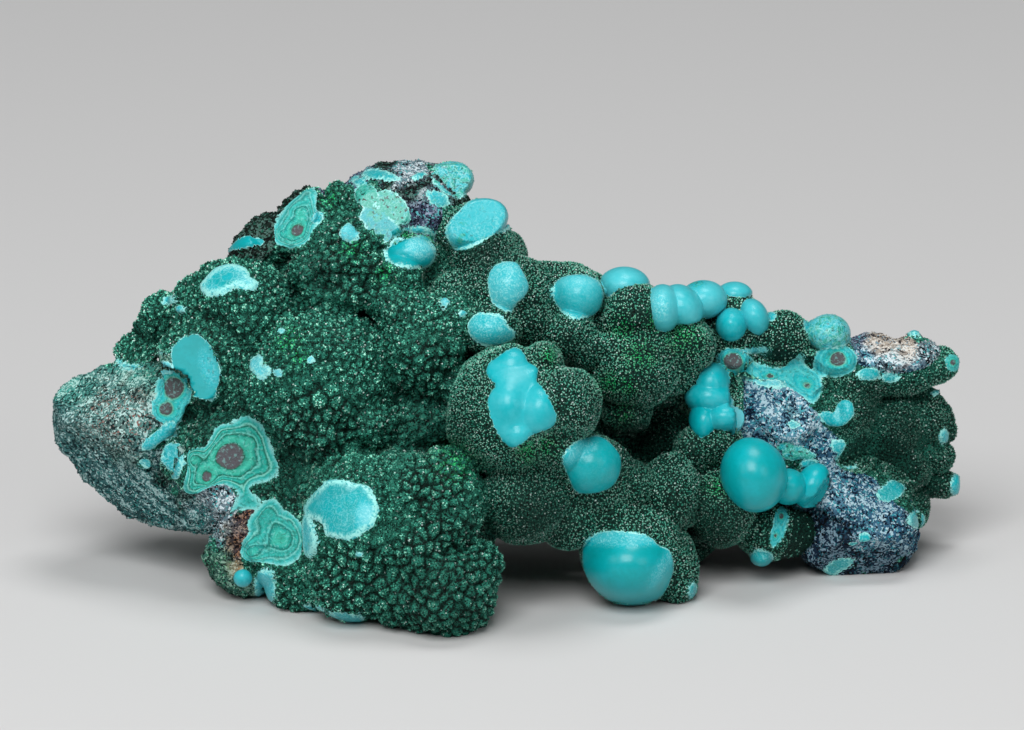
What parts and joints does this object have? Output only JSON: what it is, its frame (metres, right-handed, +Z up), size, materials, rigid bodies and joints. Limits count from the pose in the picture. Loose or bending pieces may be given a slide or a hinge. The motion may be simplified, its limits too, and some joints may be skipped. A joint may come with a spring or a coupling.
{
  "type": "malachite specimen",
  "caption": "Free-standing botryoidal malachite specimen with rounded green lobes, blue chrysocolla domes and broken rocky ends.",
  "frame": {"origin": "centre of the bounding box's bottom, on the surface that the specimen rests on", "axes": "+X along the specimen's length, towards its thin end; -Y the way its main face looks; +Z up"},
  "size_m": [0.1502, 0.0738, 0.0676],
  "materials": {
    "malachite": "velvety dark green crystal tips, with glossy blue-green chrysocolla domes and banded broken faces"
  },
  "bodies": {
    "root": {"malachite_specimen": "malachite"}
  },
  "joints": []
}
